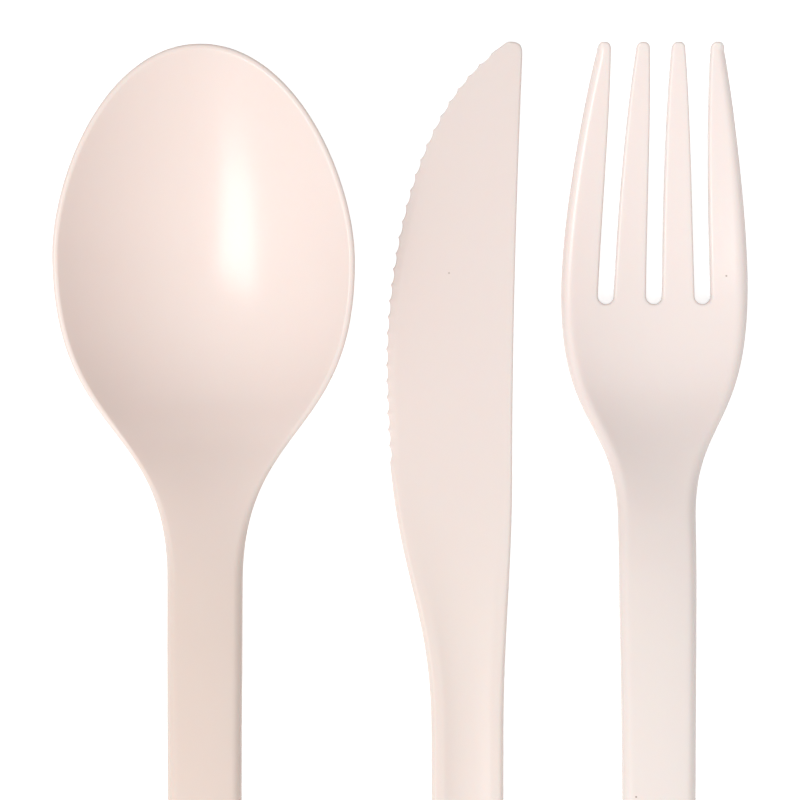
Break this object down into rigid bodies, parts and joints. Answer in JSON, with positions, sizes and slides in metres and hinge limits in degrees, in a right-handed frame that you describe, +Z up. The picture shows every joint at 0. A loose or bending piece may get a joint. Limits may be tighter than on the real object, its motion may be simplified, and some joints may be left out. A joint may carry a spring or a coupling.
{
  "type": "plastic cutlery set",
  "caption": "Disposable moulded plastic spoon, serrated table knife and fork, lying side by side with their heads the same way.",
  "frame": {"origin": "on the table, under the centre of the set's bounding box", "axes": "+Y from the handle ends towards the tips, +Z up from the table, +X from the spoon towards the fork"},
  "size_m": [0.096, 0.1999, 0.0183],
  "materials": {
    "blush_polystyrene": "opaque pale blush injection-moulded plastic, polished mould surface with a soft gloss"
  },
  "bodies": {
    "root": {"spoon": "blush_polystyrene", "knife": "blush_polystyrene", "fork": "blush_polystyrene"}
  },
  "joints": []
}
